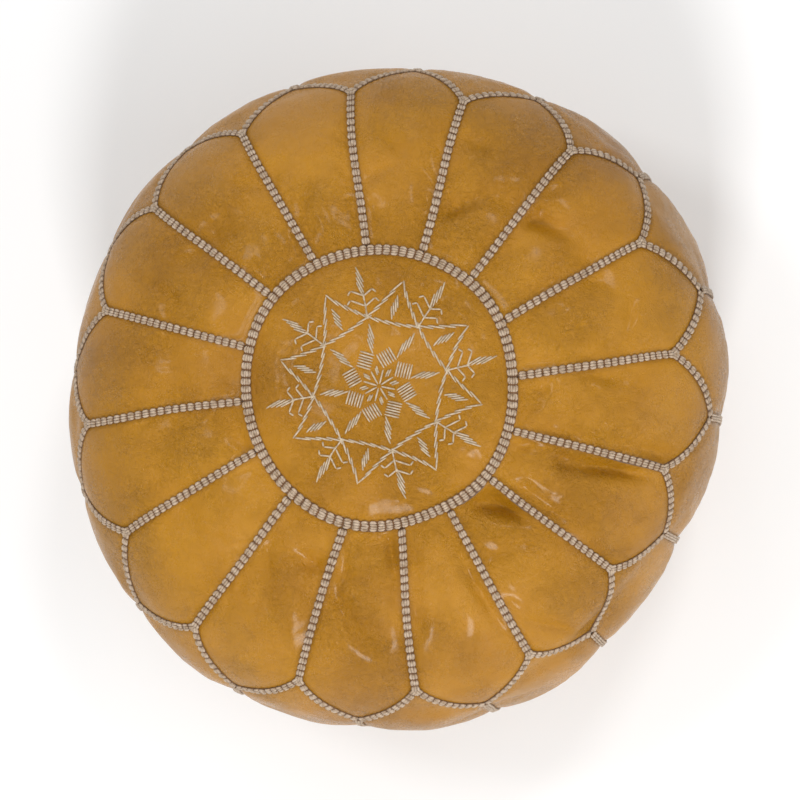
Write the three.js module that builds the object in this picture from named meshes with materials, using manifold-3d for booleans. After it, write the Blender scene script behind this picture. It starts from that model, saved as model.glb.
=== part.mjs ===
// A round leather floor pouf: a sewn cover of a roundel, petals and side panels with thread bound seams,
// a zip in the underside, and a stuffed cotton insert. Millimetres, +Z up, origin on the floor in the middle.
import * as THREE from "three";
import Module from "manifold-3d";
import { mergeVertices } from "three/addons/utils/BufferGeometryUtils.js";

const wasm = await Module();
wasm.setup();

// Overall shape
const width = 510;
const height = 330;
const waistHeight = 160;
const floorRadius = 195;
const squareness = 3.6; // exponent of the meridian: 2 is an ellipse, more is boxier

// Cover
const leatherThickness = 1.6;
const panelCount = 16;
const roundelRadius = 96;
const petalSeamLength = 126.5; // along the leather, from the roundel's seam to the fork at its outer end
const scallopDepth = 43; // from the forks to the petals' tips
const scallopBow = 0.3; // 0 is a straight scallop edge, 1 a fully bowed one
const floorSeamHeight = 7;
const panelPuff = 4;
const bluntTip = 1.5; // half-width of a panel where it comes to a point

// Seams: a thread bound band between two leather edges
const seamHalfWidth = 3.4;
const seamRise = 1.5;
const seamShoulder = 0.6; // height of the band's edges
const clearance = 0.3;

// Zip, a closed chain of that length in a slot between the two bottom halves, its slider's arch lowest
const zipLength = 300;
const floorGap = 0.6; // below the slider's arch
const slotEndRoom = 20;
const slotSideRoom = 1.5;
const lipWidth = 2;
const tapeThickness = 0.7;
const tapeWidth = 11;
const chainWidth = 1.9;
const chainThickness = 1.6;
const chainGap = 1.4; // between the two rows, where the slider's web runs
const stopLength = 2.4;
const slider = { length: 14, width: 9, plate: 0.8, webLength: 4 };
const arch = { halfLength: 3.4, halfWidth: 1, post: 1.2, beam: 0.7 };
const pull = { length: 27, halfWidth: 3.2, thickness: 1, eyeLength: 5.6, eyeHalfWidth: 1.7, barRadius: 0.5 };

// Insert
const insertGap = 2;
const insertCloth = 1.2;
const insertSlit = { length: 200, width: 8 };
const channelRoom = 3; // in the insert's foot, beside the zip's tapes

const pitch = (2 * Math.PI) / panelCount;
const waistRadius = width / 2 - panelPuff; // the meridian runs along the seams, below the panels' puff
const upperHalf = height - panelPuff - waistHeight;
const lift = (x) => Math.pow(Math.max(0, 1 - Math.pow(x, squareness)), 1 / squareness);
const lowerHalf = waistHeight / lift(floorRadius / waistRadius); // the floor cuts this lower half off flat

// The meridian of the cover's outer face, from the top's centre down to the floor, as a table by arc length.
const meridian = makeMeridian(600);

function makeMeridian(steps) {
  const lowest = -Math.asin(Math.pow(waistHeight / lowerHalf, squareness / 2));
  const table = [];
  let length = 0;
  for (let i = 0; i <= steps; i++) {
    const angle = Math.PI / 2 + ((lowest - Math.PI / 2) * i) / steps;
    const r = waistRadius * Math.pow(Math.max(0, Math.cos(angle)), 2 / squareness);
    const reach = angle >= 0 ? upperHalf : -lowerHalf;
    const z = waistHeight + reach * Math.pow(Math.abs(Math.sin(angle)), 2 / squareness);
    if (i > 0) length += Math.hypot(r - table[i - 1].r, z - table[i - 1].z);
    table.push({ s: length, r, z });
  }
  return table;
}

// Radius, height and outward normal on the meridian at arc length s.
function meridianAt(s) {
  const last = meridian.length - 1;
  let i = 1;
  while (i < last && meridian[i].s < s) i++;
  const a = meridian[i - 1];
  const b = meridian[i];
  const t = (s - a.s) / (b.s - a.s);
  const step = Math.hypot(b.r - a.r, b.z - a.z);
  return {
    r: a.r + t * (b.r - a.r),
    z: a.z + t * (b.z - a.z),
    normalR: -(b.z - a.z) / step,
    normalZ: (b.r - a.r) / step,
  };
}

// (radius, height) that far out of the meridian at arc length s.
function profilePoint(s, out) {
  const m = meridianAt(s);
  return new THREE.Vector2(m.r + out * m.normalR, m.z + out * m.normalZ);
}

// Arc length at which a rising test of the meridian first holds.
function arcWhere(test) {
  return meridian.find(test).s;
}

// A point of the cover at angle a and arc length s, that far out of its outer face.
function coverPoint(a, s, out) {
  const p = profilePoint(s, out);
  return new THREE.Vector3(p.x * Math.cos(a), p.x * Math.sin(a), p.y);
}

const seamInset = seamHalfWidth + clearance;
const slotEnd = zipLength / 2 + slotEndRoom;
const slotHalfWidth = slider.width / 2 + slotSideRoom;
const raySteps = 3;
const scallopSteps = 4;
const uprightSteps = 6;

// Zip heights from the floor up, and its rows' places from the middle out
const archHeadroom = Math.hypot(2 * pull.barRadius, pull.thickness) + clearance;
const lowerPlateFoot = floorGap + arch.beam + archHeadroom;
const pivotHeight = lowerPlateFoot - archHeadroom / 2;
const chainLow = lowerPlateFoot + slider.plate + clearance;
const chainHigh = chainLow + chainThickness;
const upperPlateFoot = chainHigh + clearance;
const tapeLow = (chainLow + chainHigh - tapeThickness) / 2;
const lipHeight = tapeLow - clearance;
const chainInner = chainGap / 2;
const chainOuter = chainInner + chainWidth;
const tapeInner = chainOuter + clearance;
const tapeOuter = tapeInner + tapeWidth;
const tapeEnd = slotEnd - 4;
const zipTop = upperPlateFoot + slider.plate + clearance;
const sliderStart = -zipLength / 2 + stopLength + slider.length / 2 + 1;
const roundelSeamAt = arcWhere((p) => p.r >= roundelRadius);
const forkAt = roundelSeamAt + petalSeamLength;
const tipAt = forkAt + scallopDepth;
const floorSeamAt = arcWhere((p) => p.s > tipAt && p.z <= floorSeamHeight);

// Arc lengths that the cover's pieces bend at, from the foot up to the top's centre. The insert bends there too.
const coverRows = [
  ...spaced(floorSeamAt - seamInset, tipAt, uprightSteps),
  ...spaced(tipAt, forkAt, scallopSteps).slice(1),
  ...spaced(forkAt, roundelSeamAt, raySteps).slice(1),
  0,
];

// Half of a petal's angle at arc length s between its forks and its tip.
function scallopHalfAngle(s) {
  const t = (s - forkAt) / scallopDepth;
  return (pitch / 2) * (1 - (1 - scallopBow) * t - scallopBow * t * t);
}

// Arc lengths spaced evenly from one to another, ends included.
function spaced(from, to, steps) {
  return Array.from({ length: steps + 1 }, (_, i) => from + ((to - from) * i) / steps);
}

// A path of {a, s} points moved sideways on the cover, to the left of its own direction, with mitred corners.
function sidestep(path, distance) {
  return path.map((p, i) => {
    const r = meridianAt(p.s).r;
    const normals = [];
    for (const [from, to] of [[path[i - 1], p], [p, path[i + 1]]]) {
      if (from && to) {
        const along = new THREE.Vector2(r * (to.a - from.a), to.s - from.s).normalize();
        normals.push(new THREE.Vector2(-along.y, along.x));
      }
    }
    const last = normals[normals.length - 1];
    const mitre = normals[0].clone().add(last);
    mitre.multiplyScalar(distance / (1 + normals[0].dot(last)));
    return { a: p.a + mitre.x / r, s: p.s + mitre.y };
  });
}

// Keeps the part of a panel's half outline that is wider than its blunt tip, and cuts it off square there.
function bluntEnds(outline) {
  const half = (p) => p.a * meridianAt(p.s).r;
  const kept = outline.filter((p) => half(p) > bluntTip);
  const cut = (inside, outside) => {
    const t = (half(inside) - bluntTip) / (half(inside) - half(outside));
    const s = inside.s + t * (outside.s - inside.s);
    return { a: bluntTip / meridianAt(s).r, s };
  };
  const before = outline[outline.indexOf(kept[0]) - 1];
  const after = outline[outline.indexOf(kept[kept.length - 1]) + 1];
  if (before) kept.unshift(cut(kept[0], before));
  if (after) kept.push(cut(kept[kept.length - 1], after));
  return kept;
}

// Half outlines of a petal and a side panel: half-angles from their own centre line, drawn in from the seams.
function petalOutline() {
  const straight = spaced(roundelSeamAt + seamInset, forkAt, raySteps).map((s) => ({ a: pitch / 2, s }));
  const scallop = spaced(forkAt, tipAt, scallopSteps).slice(1).map((s) => ({ a: scallopHalfAngle(s), s }));
  return bluntEnds(sidestep([...straight, ...scallop], seamInset));
}

function sideOutline() {
  const scallop = spaced(forkAt, tipAt, scallopSteps).map((s) => ({ a: pitch / 2 - scallopHalfAngle(s), s }));
  const straight = spaced(tipAt, floorSeamAt - seamInset, uprightSteps).slice(1).map((s) => ({ a: pitch / 2, s }));
  return bluntEnds(sidestep([...scallop, ...straight], seamInset));
}

// A box bent into place: at(u, v, w) gives the point for u and v over its face and w through it, each 0 to 1.
function bentBox(columns, rows, at) {
  const geometry = new THREE.BoxGeometry(1, 1, 1, columns, rows, 1);
  const position = geometry.getAttribute("position");
  for (let i = 0; i < position.count; i++) {
    const p = at(position.getX(i) + 0.5, position.getY(i) + 0.5, position.getZ(i) + 0.5);
    position.setXYZ(i, p.x, p.y, p.z);
  }
  return merged(geometry);
}

function merged(geometry) {
  const bare = geometry.clone();
  bare.deleteAttribute("normal");
  bare.deleteAttribute("uv");
  return mergeVertices(bare, 1e-4);
}

function solidFrom(geometry) {
  const g = merged(geometry);
  return new wasm.Manifold(
    new wasm.Mesh({
      numProp: 3,
      vertProperties: new Float32Array(g.getAttribute("position").array),
      triVerts: new Uint32Array(g.index.array),
    }),
  );
}

function geometryFrom(solid) {
  const mesh = solid.getMesh();
  const points = new Float32Array(mesh.numVert * 3);
  for (let i = 0; i < mesh.numVert; i++) {
    for (let k = 0; k < 3; k++) points[3 * i + k] = mesh.vertProperties[mesh.numProp * i + k];
  }
  const geometry = new THREE.BufferGeometry();
  geometry.setAttribute("position", new THREE.BufferAttribute(points, 3));
  geometry.setIndex(new THREE.BufferAttribute(new Uint32Array(mesh.triVerts), 1));
  geometry.computeVertexNormals();
  return geometry;
}

const joined = (solids) => solids.reduce((a, b) => a.add(b));

function boxSolid(lowX, highX, lowY, highY, lowZ, highZ) {
  const geometry = new THREE.BoxGeometry(highX - lowX, highY - lowY, highZ - lowZ);
  geometry.translate((lowX + highX) / 2, (lowY + highY) / 2, (lowZ + highZ) / 2);
  return solidFrom(geometry);
}

// A flat outline given a depth upwards from a height, and moved along X.
function extruded(outline, depth, x, z) {
  const geometry = new THREE.ExtrudeGeometry(outline, { depth, bevelEnabled: false, curveSegments: 5 });
  geometry.translate(x, 0, z);
  return solidFrom(geometry);
}

// A sewn leather panel about its centre line, puffed out between its seams.
function panel(centre, outline) {
  const rows = outline.length - 1;
  const start = outline[0].s;
  const end = outline[rows].s;
  return solidFrom(
    bentBox(4, rows, (u, v, w) => {
      const { a, s } = outline[Math.round(v * rows)];
      const across = 2 * u - 1;
      const t = (s - start) / (end - start);
      const puff = panelPuff * (1 - across * across) * 2 * Math.sqrt(t * (1 - t));
      return coverPoint(centre - across * a, s, puff - leatherThickness * (1 - w));
    }),
  );
}

// The roundel, a shallow dome of leather inside its own seam.
function roundel() {
  const rings = 3;
  const face = (sunk) =>
    spaced(0, roundelSeamAt - seamInset, rings).map((s, i) => {
      const p = profilePoint(s, panelPuff * (1 - (i / rings) ** 2) - sunk);
      return i === 0 ? new THREE.Vector2(0, p.y) : p;
    });
  return lathe([...face(leatherThickness), ...face(0).reverse()], 48);
}

// A solid turned about +Z from a profile of (radius, height) points, listed upwards along its outer side.
function lathe(profile, segments) {
  const geometry = new THREE.LatheGeometry(profile, segments);
  geometry.rotateX(Math.PI / 2);
  return solidFrom(geometry);
}

// A seam band with a raised middle along a path of {a, s} points on the cover. Room widens it on every side.
function seamBand(path, room = 0) {
  const rows = path.length - 1;
  const left = sidestep(path, seamHalfWidth + room);
  const right = sidestep(path, -seamHalfWidth - room);
  return solidFrom(
    bentBox(2, rows, (u, v, w) => {
      const row = Math.round(v * rows);
      const side = [right, path, left][Math.round(2 * u)][row];
      const crown = u > 0.4 && u < 0.6 ? seamRise : seamShoulder;
      return coverPoint(side.a, side.s, w > 0.5 ? crown + room : -leatherThickness - room);
    }),
  );
}

// A band right round the cover at arc length s.
function seamRing(s, segments) {
  const half = seamHalfWidth;
  const corners = [
    [s + half, -leatherThickness],
    [s + half, seamShoulder],
    [s, seamRise],
    [s - half, seamShoulder],
    [s - half, -leatherThickness],
    [s + half, -leatherThickness],
  ];
  const profile = corners.map(([at, out]) => profilePoint(at, out));
  return lathe(profile, segments);
}

// The scallop seam from one petal's tip over the fork to the next petal's tip.
function scallopPath(index) {
  const a = index * pitch;
  const down = spaced(forkAt, tipAt, scallopSteps);
  const before = down.map((s) => ({ a: a - pitch / 2 + scallopHalfAngle(s), s })).reverse();
  const after = down.map((s) => ({ a: a + pitch / 2 - scallopHalfAngle(s), s })).slice(1);
  return [...before, ...after];
}

// The roundel's seam and the seams between petals, each notched where the scallop seam forks at its end.
function petalSeams() {
  const bands = [seamRing(roundelSeamAt, 48)];
  for (let i = 0; i < panelCount; i++) {
    const ray = seamBand(spaced(roundelSeamAt, forkAt, raySteps).map((s) => ({ a: i * pitch, s })));
    bands.push(ray.subtract(seamBand(scallopPath(i), clearance)));
  }
  return joined(bands);
}

// The scallop seam all round, and the seams from the petals' tips down to the floor seam.
function sideSeams() {
  const bands = [];
  for (let i = 0; i < panelCount; i++) {
    const upright = spaced(tipAt, floorSeamAt - seamInset, uprightSteps).map((s) => ({ a: (i + 0.5) * pitch, s }));
    bands.push(seamBand(scallopPath(i)), seamBand(upright));
  }
  return joined(bands);
}

// The underside's leather: flat on the floor and dished up at its rim, out to arc length rimAt.
function dishedDisc(rimAt) {
  const t = leatherThickness;
  return lathe(
    [
      new THREE.Vector2(0, 0),
      new THREE.Vector2(floorRadius - t, 0),
      profilePoint(rimAt, 0),
      profilePoint(rimAt, -t),
      new THREE.Vector2(floorRadius - 2 * t, t),
      new THREE.Vector2(0, t),
    ],
    64,
  );
}

// The floor seam runs round the foot of the sides, and joins the two bottom halves beyond the zip.
function floorSeam() {
  const disc = dishedDisc(floorSeamAt + seamHalfWidth / 2);
  const tail = (low, high) => disc.intersect(boxSolid(low, high, -seamHalfWidth, seamHalfWidth, -1, height));
  const start = slotEnd + clearance;
  return joined([seamRing(floorSeamAt, 64), tail(start, width), tail(-width, -start)]);
}

// Half of the underside, with a folded lip along the zip.
function bottomHalf(side) {
  const [low, high] = sided(side, seamInset, width);
  const [lipLow, lipHigh] = sided(side, slotHalfWidth, slotHalfWidth + lipWidth);
  const slot = boxSolid(-slotEnd, slotEnd, -slotHalfWidth, slotHalfWidth, -1, height);
  const lip = boxSolid(-tapeEnd, tapeEnd, lipLow, lipHigh, 0, lipHeight);
  return dishedDisc(floorSeamAt + seamInset)
    .intersect(boxSolid(-width, width, low, high, -1, height))
    .subtract(slot)
    .add(lip);
}

// A span either side of the middle, mirrored on the negative side.
function sided(side, low, high) {
  return side > 0 ? [low, high] : [-high, -low];
}

function zipTape(side) {
  const [low, high] = sided(side, tapeInner, tapeOuter);
  return boxSolid(-tapeEnd, tapeEnd, low, high, tapeLow, tapeLow + tapeThickness);
}

function zipChain(side) {
  const [low, high] = sided(side, chainInner, chainOuter);
  const end = zipLength / 2 - stopLength - clearance;
  return boxSolid(-end, end, low, high, chainLow, chainHigh);
}

function topStop(side) {
  const [low, high] = sided(side, chainInner, chainOuter);
  return boxSolid(-zipLength / 2, -zipLength / 2 + stopLength, low, high, chainLow, chainHigh);
}

function bottomStop() {
  return boxSolid(zipLength / 2 - stopLength, zipLength / 2, -chainOuter, chainOuter, chainLow, chainHigh);
}

// Slider: two shield-shaped plates on a central web, with an arch under it for the pull.
function sliderPlate(low) {
  const half = slider.length / 2;
  const wide = slider.width / 2;
  const outline = new THREE.Shape();
  outline.moveTo(-half + 1, -wide);
  outline.lineTo(0, -wide);
  outline.quadraticCurveTo(half * 0.6, -wide * 0.8, half, -wide * 0.72);
  outline.lineTo(half, wide * 0.72);
  outline.quadraticCurveTo(half * 0.6, wide * 0.8, 0, wide);
  outline.lineTo(-half + 1, wide);
  outline.quadraticCurveTo(-half, wide, -half, wide - 1);
  outline.lineTo(-half, -wide + 1);
  outline.quadraticCurveTo(-half, -wide, -half + 1, -wide);
  return extruded(outline, slider.plate, sliderStart, low);
}

function zipSlider() {
  const nose = sliderStart - slider.length / 2;
  const web = chainInner - clearance;
  const sunk = slider.plate / 4;
  const post = (from) =>
    boxSolid(from, from + arch.post, -arch.halfWidth, arch.halfWidth, floorGap, lowerPlateFoot + sunk);
  const beam = boxSolid(
    sliderStart - arch.halfLength,
    sliderStart + arch.halfLength,
    -arch.halfWidth,
    arch.halfWidth,
    floorGap,
    floorGap + arch.beam,
  );
  return joined([
    sliderPlate(lowerPlateFoot),
    sliderPlate(upperPlateFoot),
    boxSolid(nose, nose + slider.webLength, -web, web, lowerPlateFoot + sunk, upperPlateFoot + sunk),
    post(sliderStart - arch.halfLength),
    post(sliderStart + arch.halfLength - arch.post),
    beam,
  ]);
}

// Pull tab: its eye goes round the arch, and its end bar turns inside it.
function zipPull() {
  const outline = new THREE.Shape();
  const { length, halfWidth, eyeLength, eyeHalfWidth, barRadius, thickness } = pull;
  outline.moveTo(-barRadius, -halfWidth);
  outline.lineTo(length - halfWidth, -halfWidth);
  outline.absarc(length - halfWidth, 0, halfWidth, -Math.PI / 2, Math.PI / 2, false);
  outline.lineTo(-barRadius, halfWidth);
  outline.closePath();
  const eye = new THREE.Path();
  eye.moveTo(barRadius, -eyeHalfWidth);
  eye.lineTo(barRadius, eyeHalfWidth);
  eye.lineTo(eyeLength, eyeHalfWidth);
  eye.lineTo(eyeLength, -eyeHalfWidth);
  eye.closePath();
  outline.holes.push(eye);
  return extruded(outline, thickness, sliderStart, pivotHeight - thickness / 2);
}

// The stuffed insert's outer form drawn in by a wall: the meridian, with a channel in its foot over the zip.
function insertForm(wall) {
  const inward = leatherThickness + insertGap + wall;
  const foot = leatherThickness + clearance + wall;
  const sides = coverRows.map((s) => profilePoint(s, -inward));
  sides[sides.length - 1].x = 0;
  const footEdge = new THREE.Vector2(floorRadius - leatherThickness - inward, foot);
  const form = lathe([new THREE.Vector2(0, foot), footEdge, ...sides], 32);
  const end = slotEnd + channelRoom + wall;
  const side = tapeOuter + channelRoom + wall;
  return form.subtract(boxSolid(-end, end, -side, side, -1, zipTop + wall));
}

function insertCover() {
  const half = { length: insertSlit.length / 2, width: insertSlit.width / 2 };
  const slit = boxSolid(-half.length, half.length, -half.width, half.width, 0, zipTop + 2 * insertCloth);
  return insertForm(0).subtract(insertForm(insertCloth)).subtract(slit);
}

// Materials
function finish(color, roughness, metalness = 0) {
  return new THREE.MeshStandardMaterial({ color, roughness, metalness });
}

const ochreLeather = finish(0xb17d27, 0.38);
const undersideLeather = finish(0xa8752a, 0.5);
const creamThread = finish(0xcbbcab, 0.85);
const tapeCloth = finish(0x8a6a3c, 0.9);
const brass = finish(0xb08a4a, 0.35, 1);
const calico = finish(0xe4dccb, 0.95);
const wadding = finish(0xf1eee6, 1);

const pouf = new THREE.Group();

function add(name, solid, material) {
  const mesh = new THREE.Mesh(geometryFrom(solid), material);
  mesh.name = name;
  pouf.add(mesh);
}

const numbered = (name, i) => `${name}_${String(i + 1).padStart(2, "0")}`;

add("top_roundel", roundel(), ochreLeather);
for (let i = 0; i < panelCount; i++) {
  add(numbered("top_petal", i), panel((i + 0.5) * pitch, petalOutline()), ochreLeather);
}
for (let i = 0; i < panelCount; i++) {
  add(numbered("side_panel", i), panel(i * pitch, sideOutline()), ochreLeather);
}
add("bottom_half_left", bottomHalf(1), undersideLeather);
add("bottom_half_right", bottomHalf(-1), undersideLeather);
add("petal_seams", petalSeams(), creamThread);
add("side_seams", sideSeams(), creamThread);
add("floor_seam", floorSeam(), creamThread);
add("zip_tape_left", zipTape(1), tapeCloth);
add("zip_tape_right", zipTape(-1), tapeCloth);
add("zip_chain_left", zipChain(1), brass);
add("zip_chain_right", zipChain(-1), brass);
add("zip_top_stop_left", topStop(1), brass);
add("zip_top_stop_right", topStop(-1), brass);
add("zip_bottom_stop", bottomStop(), brass);
add("zip_slider", zipSlider(), brass);
add("zip_pull", zipPull(), brass);
add("insert_cover", insertCover(), calico);
add("insert_filling", insertForm(insertCloth + clearance), wadding);

export default pouf;
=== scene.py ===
import bisect
import math

import bmesh
import bpy
from mathutils import Matrix, Vector, noise
from mathutils.bvhtree import BVHTree


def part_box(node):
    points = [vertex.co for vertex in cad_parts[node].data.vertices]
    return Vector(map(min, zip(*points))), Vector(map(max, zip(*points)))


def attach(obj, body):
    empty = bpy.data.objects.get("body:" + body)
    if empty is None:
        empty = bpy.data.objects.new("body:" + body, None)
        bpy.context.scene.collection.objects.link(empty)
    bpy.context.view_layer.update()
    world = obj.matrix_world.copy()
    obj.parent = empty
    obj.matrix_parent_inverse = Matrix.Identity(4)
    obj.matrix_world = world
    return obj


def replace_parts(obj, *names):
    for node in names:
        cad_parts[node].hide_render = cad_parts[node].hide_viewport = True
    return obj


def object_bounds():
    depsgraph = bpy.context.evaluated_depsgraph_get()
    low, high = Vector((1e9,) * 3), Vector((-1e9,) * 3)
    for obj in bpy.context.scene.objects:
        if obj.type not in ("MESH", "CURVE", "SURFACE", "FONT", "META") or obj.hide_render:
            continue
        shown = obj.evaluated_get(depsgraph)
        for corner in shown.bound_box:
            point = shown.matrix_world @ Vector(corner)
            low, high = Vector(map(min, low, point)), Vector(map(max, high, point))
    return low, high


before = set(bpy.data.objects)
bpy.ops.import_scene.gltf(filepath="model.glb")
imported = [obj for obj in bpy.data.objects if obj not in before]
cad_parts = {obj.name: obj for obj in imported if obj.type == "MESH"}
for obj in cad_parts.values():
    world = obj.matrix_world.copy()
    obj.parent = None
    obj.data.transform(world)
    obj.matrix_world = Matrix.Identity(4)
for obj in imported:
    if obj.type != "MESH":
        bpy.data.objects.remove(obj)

cadBox = [list(corner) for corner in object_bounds()]
body = "pouf"
stuffingDraw = 1795058631
noise.seed_set(stuffingDraw)  # noise_vector starts from the clock otherwise, and no two runs agree

# The cover as it is sewn, in metres. Its width and height are the solids' own.
cover = dict(
    width=cadBox[1][0] - cadBox[0][0], height=cadBox[1][2] - cadBox[0][2], puff=0.004, waistHeight=0.160,
    floorRadius=0.195, squareness=3.6, panels=16, roundelRadius=0.096, petalSeam=0.1265, scallop=0.043,
    scallopBow=0.3, floorSeamHeight=0.007, leather=0.0016)

# How the stuffing has settled. Each lobe is an angle, a spread in degrees and an amount. Sides are pushed out
# or in, seams slide along the leather at the forks or at the roundel, and the roundel's seam is twisted.
# Each hollow in the top is an angle, a radius, a length, a width, a turn and a depth.
# Each dent in the side is an angle, a height, a spread in degrees, a tallness, a lean and a depth.
settled = dict(
    sides=[(-36, 24, -0.0120), (160, 30, -0.0040), (30, 26, 0.0040), (230, 26, 0.0045), (95, 20, -0.0020)],
    forks=[(11, 18, -0.0115), (90, 12, 0.0070), (181, 12, 0.0060), (202, 9, -0.0040), (292, 14, 0.0060)],
    ring=[(315, 30, 0.0060), (252, 25, 0.0030), (0, 24, -0.0020), (190, 30, -0.0020)],
    twist=[(50, 55, -3.2), (262, 32, 4.2), (345, 30, -2.2), (120, 30, -1.4)],
    hollows=[(-30, 0.175, 0.050, 0.030, 10, 0.0050), (-58, 0.130, 0.050, 0.030, 10, 0.0040),
             (-75, 0.175, 0.040, 0.018, 80, 0.0040), (244, 0.148, 0.044, 0.018, 62, 0.0050),
             (75, 0.160, 0.045, 0.020, 110, 0.0035), (-8, 0.150, 0.040, 0.018, 40, 0.0040),
             (30, 0.165, 0.040, 0.018, 130, 0.0030), (165, 0.150, 0.050, 0.022, 90, 0.0020),
             (120, 0.165, 0.045, 0.018, 40, 0.0022), (205, 0.165, 0.045, 0.020, 100, 0.0026),
             (-40, 0.070, 0.035, 0.020, 50, 0.0022)],
    dents=[(-49, 0.255, 16, 0.020, -0.5, 0.0065), (-72, 0.235, 12, 0.026, 0.6, 0.0040),
           (20, 0.240, 12, 0.024, 0.8, 0.0040), (70, 0.215, 14, 0.022, -0.7, 0.0045),
           (118, 0.205, 11, 0.030, 0.5, 0.0035), (158, 0.235, 13, 0.022, -0.8, 0.0035),
           (207, 0.190, 12, 0.028, 0.7, 0.0045), (248, 0.225, 12, 0.024, -0.5, 0.0040),
           (-8, 0.120, 15, 0.024, 0.6, 0.0045), (45, 0.095, 14, 0.022, -0.6, 0.0040),
           (98, 0.085, 12, 0.026, 0.4, 0.0045), (140, 0.100, 14, 0.020, -0.8, 0.0040),
           (185, 0.075, 13, 0.024, 0.6, 0.0045), (232, 0.090, 14, 0.022, -0.4, 0.0040),
           (280, 0.110, 13, 0.026, 0.7, 0.0045), (318, 0.085, 12, 0.022, -0.6, 0.0040)],
    drift=0.0020, driftSize=0.08)

# Creases pressed into single petals, laid out as the hollows are. Their lower bank is the steeper one.
creases = dict(
    steep=0.38, crisp=1.15, fadeFrom=0.003, fadeOver=0.007,
    valleys=[(-26, 0.176, 0.036, 0.014, -10, 0.0155), (-21, 0.203, 0.015, 0.010, -40, 0.0085),
             (-50, 0.127, 0.032, 0.013, -14, 0.0150), (-58, 0.148, 0.018, 0.010, 20, 0.0065),
             (-26, 0.134, 0.015, 0.007, -81, 0.0070), (-27, 0.115, 0.014, 0.008, 30, 0.0060),
             (-70, 0.172, 0.032, 0.010, -64, 0.0080), (-60, 0.212, 0.022, 0.010, -20, 0.0085),
             (59, 0.139, 0.024, 0.008, 12, 0.0085), (38, 0.163, 0.031, 0.010, -33, 0.0105),
             (22, 0.169, 0.016, 0.007, 83, 0.0062), (22, 0.134, 0.015, 0.007, 43, 0.0062),
             (84, 0.150, 0.015, 0.006, 20, 0.0060), (80, 0.172, 0.013, 0.006, -50, 0.0055),
             (-7, 0.118, 0.017, 0.006, 60, 0.0065), (-3, 0.150, 0.020, 0.009, -25, 0.0070),
             (-90, 0.140, 0.032, 0.010, -80, 0.0085), (-104, 0.165, 0.030, 0.011, -60, 0.0085),
             (-115, 0.135, 0.028, 0.010, -30, 0.0085), (-128, 0.150, 0.026, 0.010, -90, 0.0060),
             (197, 0.106, 0.015, 0.007, -52, 0.0055), (106, 0.140, 0.024, 0.009, 60, 0.0050),
             (128, 0.155, 0.024, 0.009, 20, 0.0042), (62, 0.185, 0.020, 0.008, -30, 0.0062),
             (150, 0.170, 0.022, 0.009, -40, 0.0040), (10, 0.185, 0.022, 0.009, 70, 0.0050)])

waistRadius = cover["width"] / 2 - cover["puff"]
topHalf = cover["height"] - cover["puff"] - cover["waistHeight"]
pitch = 2 * math.pi / cover["panels"]


def superCurve(x):
    return max(0.0, 1 - x ** cover["squareness"]) ** (1 / cover["squareness"])


def makeMeridian(steps=600):
    lowHalf = cover["waistHeight"] / superCurve(cover["floorRadius"] / waistRadius)
    lowest = -math.asin((cover["waistHeight"] / lowHalf) ** (cover["squareness"] / 2))
    rows, length = [], 0.0
    for i in range(steps + 1):
        angle = math.pi / 2 + (lowest - math.pi / 2) * i / steps
        power = 2 / cover["squareness"]
        r = waistRadius * max(0.0, math.cos(angle)) ** power
        z = cover["waistHeight"] + (topHalf if angle >= 0 else -lowHalf) * abs(math.sin(angle)) ** power
        if rows:
            length += math.hypot(r - rows[-1][1], z - rows[-1][2])
        rows.append((length, r, z))
    return rows


meridian = makeMeridian()
meridianLengths = [row[0] for row in meridian]


def meridianAt(s):  # radius, height and outward normal at a length down the leather from the top's middle
    i = min(max(bisect.bisect_left(meridianLengths, s), 1), len(meridian) - 1)
    (s0, r0, z0), (s1, r1, z1) = meridian[i - 1], meridian[i]
    t = (s - s0) / (s1 - s0)
    step = math.hypot(r1 - r0, z1 - z0)
    return r0 + t * (r1 - r0), z0 + t * (z1 - z0), (z0 - z1) / step, (r1 - r0) / step


roundelAt = next(s for s, r, z in meridian if r >= cover["roundelRadius"])
forkAt = roundelAt + cover["petalSeam"]
tipAt = forkAt + cover["scallop"]
floorSeamAt = next(s for s, r, z in meridian if s > tipAt and z <= cover["floorSeamHeight"])


def degreesFrom(at, angle):
    return (angle - at + 180) % 360 - 180


def lobeSum(lobes, angle):
    return sum(size * math.exp(-(degreesFrom(at, angle) / spread) ** 2) for at, spread, size in lobes)


def fromValley(p, at, radius, long, wide, turn):  # along and across a hollow or crease, in its own sizes
    dx = p.x - radius * math.cos(math.radians(at))
    dy = p.y - radius * math.sin(math.radians(at))
    c, d = math.cos(math.radians(turn)), math.sin(math.radians(turn))
    return (dx * c + dy * d) / long, (dy * c - dx * d) / wide


def onTop(p):
    return min(1.0, max(0.0, (p.z - 0.15) / 0.08))


def creaseDepth(p):
    drop = 0.0
    for *place, depth in creases["valleys"]:
        along, across = fromValley(p, *place)
        if across < 0:
            across /= creases["steep"]
        drop += depth * math.exp(-along ** 2 - abs(across) ** creases["crisp"])
    return drop * onTop(p)


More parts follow.
